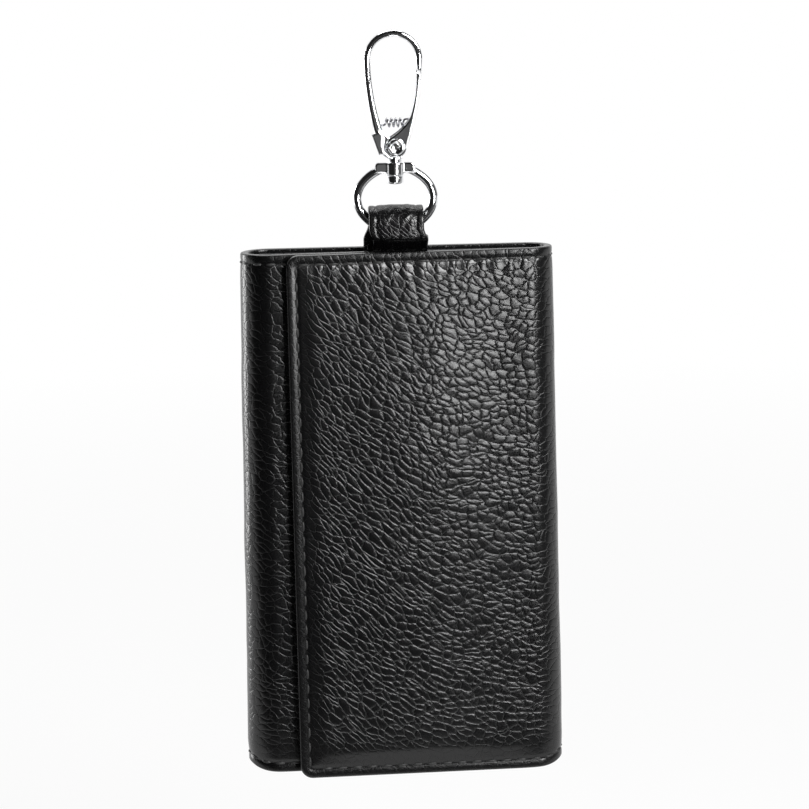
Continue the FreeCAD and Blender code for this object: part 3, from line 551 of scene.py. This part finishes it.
def sum_of(tree, *terms):
    """A weighted sum of values."""
    total = None
    for source, weight in terms:
        step = node(tree, "ShaderNodeMath", operation="MULTIPLY_ADD")
        tree.links.new(source, step.inputs[0])
        step.inputs[1].default_value = weight
        step.inputs[2].default_value = 0.0
        if total is not None:
            tree.links.new(total, step.inputs[2])
        total = step.outputs[0]
    return total


def pair(tree, operation, first, second):
    """One value worked out from two."""
    made = node(tree, "ShaderNodeMath", operation=operation)
    tree.links.new(first, made.inputs[0])
    tree.links.new(second, made.inputs[1])
    return made.outputs[0]


# Heights on the grain by distance from a crease, from a cell's middle and from a small cell's crease; the
# first also paints shade into the colour of the creases
DOME = [(0.0, 0.0), (0.016, 0.14), (0.045, 0.48), (0.09, 0.76), (0.16, 0.91), (0.28, 0.975), (0.6, 1.0)]
SWELL = [(0.0, 1.0), (0.15, 0.93), (0.35, 0.68), (0.6, 0.25), (0.9, 0.0)]
SMALL_DOME = [(0.0, 0.0), (0.1, 0.7), (0.3, 1.0)]
SMALL_SCALE = 2.3            # small cells to one grain cell
CELL_WAVER = 0.5             # how far the creases wander, in cells
PORE = 0.008                 # depth of the pores
FIBRE = 0.06                 # depth of the thread's fibres
SMUDGE_ROUGH = (0.7, 1.5)    # shares of a metal's roughness between and on its smudges
SMUDGE_TINT = 0.93           # share of its colour left where it is darkest


def leather_material(name, dark, light, rough_low, rough_high, pebble):
    """Leather with pebbled grain: domed cells, narrow creases with painted shade, and fine pores."""
    material, tree, shader = new_material(name)
    even = node(tree, "ShaderNodeAttribute", attribute_name="cell").outputs["Vector"]
    sheet = node(tree, "ShaderNodeAttribute", attribute_name="sheet").outputs["Vector"]
    share = node(tree, "ShaderNodeAttribute", attribute_name="grain_share").outputs["Fac"]

    waver = node(tree, "ShaderNodeTexNoise", in_Scale=1.7, in_Detail=2.0)
    tree.links.new(even, waver.inputs["Vector"])
    shifted = node(tree, "ShaderNodeVectorMath", operation="MULTIPLY_ADD")
    tree.links.new(waver.outputs["Color"], shifted.inputs[0])
    shifted.inputs[1].default_value = (CELL_WAVER, CELL_WAVER, 0)
    tree.links.new(even, shifted.inputs[2])

    def cells(feature, scale):
        made = node(tree, "ShaderNodeTexVoronoi", voronoi_dimensions="2D", feature=feature,
                    in_Scale=scale, in_Randomness=0.95)
        tree.links.new(shifted.outputs[0], made.inputs["Vector"])
        return made.outputs["Distance"]

    dome = ramp(tree, cells("DISTANCE_TO_EDGE", 1.0), DOME)
    swell = ramp(tree, cells("F1", 1.0), SWELL)
    small = ramp(tree, cells("DISTANCE_TO_EDGE", SMALL_SCALE), SMALL_DOME)
    pores = node(tree, "ShaderNodeTexNoise", in_Scale=3.2, in_Detail=5.0, in_Roughness=0.6)
    tone = node(tree, "ShaderNodeTexNoise", in_Scale=0.11, in_Detail=3.0)
    for texture in (pores, tone):
        tree.links.new(sheet, texture.inputs["Vector"])
    height = pair(tree, "MULTIPLY", sum_of(tree, (dome, 0.8), (swell, 0.55), (small, 0.03)), share)
    # Colour and roughness follow the crease distance, a random tone and the pores: the darker creases are
    # painted shade, while the tone and pores are the leather's own
    crease_shade_and_tone = sum_of(tree, (dome, 0.6), (tone.outputs["Fac"], 0.45), (pores.outputs["Fac"], 0.25))
    tree.links.new(ramp(tree, crease_shade_and_tone, [(0.25, dark), (1.0, light)]), shader.inputs["Base Color"])
    tree.links.new(ramp(tree, crease_shade_and_tone, [(0.36, rough_high), (0.95, rough_low)]), shader.inputs["Roughness"])
    grain = node(tree, "ShaderNodeBump", in_Strength=1.0, in_Distance=pebble * MM)
    tree.links.new(height, grain.inputs["Height"])
    fine = node(tree, "ShaderNodeBump", in_Strength=0.5, in_Distance=PORE * MM)
    tree.links.new(pores.outputs["Fac"], fine.inputs["Height"])
    tree.links.new(grain.outputs["Normal"], fine.inputs["Normal"])
    tree.links.new(fine.outputs["Normal"], shader.inputs["Normal"])
    return material


def thread_material():
    """Black thread with fine fibres."""
    material, tree, shader = new_material("black_thread")
    place = node(tree, "ShaderNodeTexCoord").outputs["Object"]
    fibre = node(tree, "ShaderNodeTexNoise", in_Scale=4200.0, in_Detail=2.0)
    tree.links.new(place, fibre.inputs["Vector"])
    colour = ramp(tree, fibre.outputs["Fac"], [(0.3, 0.006), (0.7, 0.028)])
    tree.links.new(colour, shader.inputs["Base Color"])
    bump = node(tree, "ShaderNodeBump", in_Strength=0.5, in_Distance=FIBRE * MM)
    tree.links.new(fibre.outputs["Fac"], bump.inputs["Height"])
    tree.links.new(bump.outputs["Normal"], shader.inputs["Normal"])
    shader.inputs["Roughness"].default_value = 0.55
    return material


def metal_material(name, colour, rough, edge_round):
    """Polished metal with faint smudges and softened edges."""
    material, tree, shader = new_material(name)
    place = node(tree, "ShaderNodeTexCoord").outputs["Object"]
    smudge = node(tree, "ShaderNodeTexNoise", in_Scale=260.0, in_Detail=4.0)
    tree.links.new(place, smudge.inputs["Vector"])
    clean, smudged = (rough * share for share in SMUDGE_ROUGH)
    roughness = ramp(tree, smudge.outputs["Fac"], [(0.35, clean), (0.75, smudged)])
    tree.links.new(roughness, shader.inputs["Roughness"])
    tint = tuple(c * SMUDGE_TINT for c in colour)
    tone = ramp(tree, smudge.outputs["Fac"], [(0.3, tint), (0.7, colour)])
    tree.links.new(tone, shader.inputs["Base Color"])
    bevel = node(tree, "ShaderNodeBevel", samples=8, in_Radius=edge_round * MM)
    tree.links.new(bevel.outputs["Normal"], shader.inputs["Normal"])
    shader.inputs["Metallic"].default_value = 1.0
    return material


DEEP_BLACK = (0.001, 0.001, 0.0011)
BLACK = leather_material("black_leather", DEEP_BLACK, (0.003, 0.003, 0.0032), 0.24, 0.30, 0.095)
STRAP_BLACK = leather_material("strap_leather", DEEP_BLACK, (0.004, 0.004, 0.0043), 0.25, 0.34, 0.10)
LINED = leather_material("lining_leather", (0.008, 0.008, 0.0085), (0.06, 0.06, 0.063), 0.5, 0.7, 0.07)
THREAD = thread_material()
CHROME = metal_material("chrome_plate", (0.90, 0.905, 0.92), 0.055, 0.6)
SPRING = metal_material("spring_wire", (0.42, 0.42, 0.44), 0.16, 0.05)
DULL = metal_material("plated_disc", (0.55, 0.55, 0.57), 0.3, 0.1)
BOARD = leather_material("pressed_board", (0.06, 0.045, 0.03), (0.12, 0.095, 0.07), 0.7, 0.85, 0.02)


def paint(piece, material):
    piece.data.materials.clear()
    piece.data.materials.append(material)


# Each stretch of the sheet: its ends, whether they are free edges, the bodies on the two sides of its fold,
# the fold between them and the nodes it stands for
STRETCHES = {
    "inner_flap": (0, MID_LEFT, 1, 0, ("inner_flap", "left_fold"), (U_LEFT, MID_LEFT),
                   ("inner_flap", "left_fold")),
    "back": (MID_LEFT, U_RIGHT, 0, 0, ("left_fold", "case"), (MID_LEFT, U_BACK), ("back",)),
    "right_fold": (U_RIGHT, MID_RIGHT, 0, 0, ("case", "right_fold"), (U_RIGHT, MID_RIGHT), ("right_fold",)),
    "front_flap": (MID_RIGHT, U_END, 0, 1, ("right_fold", "front_flap"), (MID_RIGHT, U_FRONT),
                   ("front_flap",)),
}
JUST_BEFORE = 1e-6           # a fold's ends are read this far before them along the sheet


def bend(piece, fold):
    """Bake a piece's placement into its mesh; the points at its fold's ends are worked out but the piece is
    not bent.
    """
    x, y, _, _ = sheet_line(np.array(fold) - JUST_BEFORE)
    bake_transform(piece)


for label, (u0, u1, open_start, open_end, bodies, fold, nodes) in STRETCHES.items():
    ends = (u0, u1, open_start, open_end)
    leather = leather_panel(label + "_hide", *ends)
    lining = lining_panel(label + "_inner_skin", *ends)
    stitches = thread_mesh(label + "_stitches", stitch_paths(*ends))
    for piece, material, slot in ((leather, BLACK, "leather"), (lining, LINED, "lining"),
                                  (stitches, THREAD, "leather")):
        paint(piece, material)
        bend(piece, fold)
    for stem in nodes:
        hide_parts(stem + "_leather")
        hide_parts(stem + "_lining")

# Leather loop: up its rear layer, over the ring and down its front layer
EYE_Z = next(j["pos_m"] for j in frame["joints"] if j["name"] == "case_swing")[2] / MM
STRAP_WIDTH = 11.4
STRAP_THICK = 1.4
EYE_OUTER_R = 3.85
STRAP_FOOT = TOP_Z - 8.0
STRAP_JOIN = TOP_Z - 1.2
STRAP_HANG = 2.2             # straight run below the eye before the front layer turns in
STRAP_BEND = 1.9
SKEW_REAR = -1.0             # sideways shift of each layer below the ring
SKEW_FRONT = 0.9
SKEW_RISE = (0.6, 3.6)       # distances below the eye between which it grows
STRAP_PAD = 0.14
STRAP_PAD_RISE = (1.6, 3.2)
STRAP_CREASE = 0.14          # pressed line along each side
STRAP_CREASE_SET = 1.5
STRAP_CREASE_WIDTH = 0.25
STRAP_WRINKLE = 0.12
STRAP_WRINKLES = ((1.0, 1.3, 1.1, 4.0), (0.5, 0.8, 0.6, 2.0))    # amounts, leans, widths and lengths
STRAP_WRINKLE_RISE = (0.5, 1.5)
STRAP_GRAIN = (1.9, 1.1)     # a grain cell's length and width on the strap
STRAP_GRAIN_LEAN = 0.6
STRAP_GRAIN_SHARE = 0.4
STRAP_GRAIN_RISE = (0.3, 1.4)
ARC_POINTS = 50              # points along the strap: over the ring, up its rear layer,
REAR_POINTS = 28
HANG_POINTS = 8              # down the straight run, round the turn
TURN_POINTS = 30
TAIL_POINTS = 16             # and inside the case


def strap_line():
    """The strap's outer face in the YZ plane, as points with outward normals and lengths."""
    eye = np.array([0.0, EYE_Z])
    join = np.array([EYE_OUTER_R - 2 * STRAP_THICK, STRAP_JOIN])
    angles = np.linspace(0, math.pi, ARC_POINTS)
    arc = eye + EYE_OUTER_R * np.stack([np.cos(angles), np.sin(angles)], -1)
    rise = np.linspace(STRAP_FOOT, EYE_Z, REAR_POINTS + 1)[:-1]
    rear = np.stack([np.full(REAR_POINTS, EYE_OUTER_R), rise], -1)
    drop = np.linspace(0, STRAP_HANG, HANG_POINTS + 1)[1:]
    hang = arc[-1] + np.stack([np.zeros(HANG_POINTS), -drop], -1)
    t = np.linspace(0, 1, TURN_POINTS + 1)[1:, None]
    guides = (hang[-1], hang[-1] - (0, STRAP_BEND), join + (0, STRAP_BEND), join)
    curve = sum(math.comb(3, k) * t ** k * (1 - t) ** (3 - k) * guides[k] for k in range(4))
    fall = np.linspace(STRAP_JOIN, STRAP_FOOT, TAIL_POINTS + 1)[1:]
    tail = np.stack([np.full(TAIL_POINTS, join[0]), fall], -1)
    line = np.concatenate([rear, arc, hang, curve, tail])
    ahead = np.gradient(line, axis=0)
    ahead /= np.linalg.norm(ahead, axis=1)[:, None]
    length = np.concatenate([[0], np.cumsum(np.linalg.norm(np.diff(line, axis=0), axis=1))])
    return line, np.stack([ahead[:, 1], -ahead[:, 0]], -1), length


def loop_strap():
    line, normal, length = strap_line()
    s = np.linspace(0, length[-1], int(length[-1] / FOLD_STEP))
    x = samples(-STRAP_WIDTH / 2, STRAP_WIDTH / 2, True, True, even_step(FOLD_STEP))
    b, a = np.meshgrid(x, s)
    edge = STRAP_WIDTH / 2 - np.abs(b)

    def place(along, across, depth):
        y, z, ny, nz = (np.interp(along, length, c) for c in (*line.T, *normal.T))
        layer = np.where(along < length[-1] / 2, SKEW_REAR, SKEW_FRONT)
        skew = layer * smooth(*SKEW_RISE, EYE_Z - z)
        return np.stack([across + skew, y - ny * depth, z - nz * depth], -1)

    crease = np.exp(-((edge - STRAP_CREASE_SET) / STRAP_CREASE_WIDTH) ** 2)
    wrinkle = sum(amount * soft_noise((a + lean * b) / across, (a - b) / along, 21 + k)
                  for k, (amount, lean, across, along) in enumerate(STRAP_WRINKLES))
    relief = (STRAP_PAD * smooth(*STRAP_PAD_RISE, edge) - STRAP_CREASE * crease
              + STRAP_WRINKLE * wrinkle * smooth(*STRAP_WRINKLE_RISE, edge))
    long, wide = STRAP_GRAIN
    grain = np.stack([(a + STRAP_GRAIN_LEAN * b) / long, (b - STRAP_GRAIN_LEAN * a) / wide, 0 * a], -1)
    return shell("loop_tab", a, b, np.maximum(edge, 0), place, STRAP_THICK, relief, grain,
                 STRAP_GRAIN_SHARE * smooth(*STRAP_GRAIN_RISE, edge))


tab = loop_strap()
paint(tab, STRAP_BLACK)
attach(tab, "case")
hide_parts("loop_strap")

# The gate's spring as a fixed coil on the clasp; the real spring shortens as the gate opens
SPRING_WIRE = 0.45
SPRING_TURNS = 4
SPRING_TURN_POINTS = 32
SPRING_BEND_R = 0.6
SPRING_BEND_POINTS = 8
SPRING_SIDES = 10
SPRING_LOW, SPRING_HIGH = (np.array(corner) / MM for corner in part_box("gate_spring"))
SPRING_Z = (SPRING_LOW[2] + SPRING_HIGH[2]) / 2


def spring_path():
    """Coil along X, its wire ends bent to run along its axis."""
    radius = (SPRING_HIGH[2] - SPRING_LOW[2] - SPRING_WIRE) / 2
    lead = SPRING_WIRE + SPRING_BEND_R
    turn = np.linspace(0, 1, SPRING_TURN_POINTS * SPRING_TURNS + 1)
    angle = 2 * math.pi * SPRING_TURNS * turn
    coil = np.stack([SPRING_LOW[0] + lead + (SPRING_HIGH[0] - SPRING_LOW[0] - 2 * lead) * turn,
                     radius * np.cos(angle), SPRING_Z + radius * np.sin(angle)], -1)
    t = np.linspace(0, math.pi / 2, SPRING_BEND_POINTS)[1:]
    bow = SPRING_BEND_R * np.stack([1 - np.cos(t), 0 * t, np.sin(t)], -1)
    first, last = coil[0] - bow, coil[-1] + bow
    start = np.array([[SPRING_LOW[0], *first[-1, 1:]]])
    stop = np.array([[SPRING_HIGH[0], *last[-1, 1:]]])
    return np.concatenate([start, first[::-1], coil, last, stop])


def spring_mesh():
    path = spring_path()
    axis = np.stack([path[:, 0], 0 * path[:, 0], np.full(len(path), SPRING_Z)], -1)
    up, side = square_to(np.gradient(path, axis=0), path - axis)
    cosine, sine = ring_turns(SPRING_SIDES)
    ring = cosine * up[:, None] + sine * side[:, None]
    return tube_mesh("gate_coil", [path[:, None] + SPRING_WIRE / 2 * ring])


coil = spring_mesh()
paint(coil, SPRING)
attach(coil, "clasp")
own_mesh(coil)
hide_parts("gate_spring")

# Metal and unseen pieces keep their CAD shape
for name, part in frame["nodes"].items():
    if name.endswith("_board"):
        paint(part, BOARD)
    elif name == "gate_spring":
        paint(part, SPRING)
    elif name in ("closure_magnet", "closure_keeper"):
        paint(part, DULL)
    elif not name.endswith(("_leather", "_lining")) and name != "loop_strap":
        paint(part, CHROME)


def area_light(name, position, target, width, height, power):
    data = bpy.data.lights.new(name, "AREA")
    data.shape = "RECTANGLE"
    data.size, data.size_y, data.energy = width, height, power
    lamp = bpy.data.objects.new(name, data)
    bpy.context.scene.collection.objects.link(lamp)
    direction = Vector(target) - Vector(position)
    lamp.location = position
    lamp.rotation_euler = direction.to_track_quat("-Z", "Y").to_euler()


CENTRE = (0, 0, -0.08)
area_light("top_right_softbox", (0.30, -0.42, 0.22), CENTRE, 0.30, 0.22, 4.2)
area_light("top_rear_softbox", (-0.05, 0.22, 0.60), CENTRE, 0.60, 0.30, 2.5)
area_light("right_front_softbox", (0.18, -0.39, -0.06), CENTRE, 0.10, 0.10, 0.55)
area_light("left_rear_strip", (-0.50, 0.30, -0.05), CENTRE, 0.15, 0.45, 1.7)
area_light("low_front_card", (0, -0.26, -0.34), (0, 0, -0.035), 0.12, 0.08, 0.16)
area_light("front_card", (-0.02, -0.80, -0.13), (0, 0, -0.02), 0.13, 0.14, 0.006)


def studio_world():
    """White to the camera; in reflections white behind, dim grey at the right and dark elsewhere."""
    world = bpy.data.worlds.new("studio")
    bpy.context.scene.world = world
    world.use_nodes = True
    tree = world.node_tree
    split = node(tree, "ShaderNodeSeparateXYZ")
    tree.links.new(node(tree, "ShaderNodeTexCoord").outputs["Generated"], split.inputs[0])
    behind = ramp(tree, split.outputs["Y"], [(0.32, 0.0), (0.6, 1.0)])
    right = ramp(tree, split.outputs["X"], [(0.25, 0.0), (0.55, 1.0)])
    room = sum_of(tree, (behind, 1.0), (right, 0.12))
    path = node(tree, "ShaderNodeLightPath").outputs
    mirrored = pair(tree, "MAXIMUM", path["Is Glossy Ray"], path["Is Transmission Ray"])
    seen = pair(tree, "MAXIMUM", path["Is Camera Ray"], pair(tree, "MULTIPLY", mirrored, room))
    mix = node(tree, "ShaderNodeMix", data_type="RGBA", clamp_factor=False)
    tree.links.new(seen, mix.inputs["Factor"])
    mix.inputs[6].default_value = (0.015, 0.015, 0.015, 1)
    mix.inputs[7].default_value = (1, 1, 1, 1)
    tree.links.new(mix.outputs[2], tree.nodes["Background"].inputs["Color"])


def pale_floor():
    """Floor under and behind the case, white in view and in reflections, with the case's shadow."""
    side, front, rear, drop = 3000.0, -120.0, 4000.0, 45.0
    z = FOOT_Z - drop
    corners = [(-side, front, z), (side, front, z), (side, rear, z), (-side, rear, z)]
    floor = new_mesh("pale_floor", corners, [(0, 1, 2, 3)], False)
    material, tree, shader = new_material("pale_floor")
    shader.inputs["Base Color"].default_value = (0.9, 0.9, 0.9, 1)
    shader.inputs["Roughness"].default_value = 0.8
    glow = node(tree, "ShaderNodeEmission", in_Strength=1.0)
    path = node(tree, "ShaderNodeLightPath").outputs
    seen = pair(tree, "MAXIMUM", path["Is Camera Ray"], path["Is Glossy Ray"])
    clear = pair(tree, "MAXIMUM", seen, path["Is Transmission Ray"])
    away = node(tree, "ShaderNodeVectorMath", operation="LENGTH")
    tree.links.new(node(tree, "ShaderNodeTexCoord").outputs["Object"], away.inputs[0])
    share = pair(tree, "MULTIPLY", clear, ramp(tree, away.outputs["Value"], [(0.2, 0.88), (0.9, 1.0)]))
    mix = node(tree, "ShaderNodeMixShader")
    tree.links.new(share, mix.inputs["Fac"])
    tree.links.new(shader.outputs[0], mix.inputs[1])
    tree.links.new(glow.outputs[0], mix.inputs[2])
    tree.links.new(mix.outputs[0], tree.nodes["Material Output"].inputs["Surface"])
    paint(floor, material)


def photo_camera():
    """Camera from slightly above and left, turned a little so that the case leans as it hangs."""
    distance, elevation, azimuth, roll = 1.0, math.radians(9.0), math.radians(-2.7), math.radians(-1.07)
    target = Vector((0.0011, 0, -0.0771))
    picture_pixels, pixels_per_mm = 809, 4.78
    forward = Vector((-math.sin(azimuth) * math.cos(elevation), math.cos(azimuth) * math.cos(elevation),
                      -math.sin(elevation)))
    right = Vector((math.cos(azimuth), math.sin(azimuth), 0))
    up = right.cross(forward)
    turned_right = right * math.cos(roll) + up * math.sin(roll)
    turned_up = up * math.cos(roll) - right * math.sin(roll)
    data = bpy.data.cameras.new("photo_camera")
    data.sensor_width = 36.0
    data.lens = data.sensor_width * distance / (picture_pixels / pixels_per_mm * MM)
    camera = bpy.data.objects.new("photo_camera", data)
    bpy.context.scene.collection.objects.link(camera)
    place = target - forward * distance
    camera.matrix_world = Matrix((
        (turned_right.x, turned_up.x, -forward.x, place.x),
        (turned_right.y, turned_up.y, -forward.y, place.y),
        (turned_right.z, turned_up.z, -forward.z, place.z),
        (0, 0, 0, 1)))
    bpy.context.scene.camera = camera


studio_world()
pale_floor()
photo_camera()
bpy.context.scene.view_settings.view_transform = "Standard"
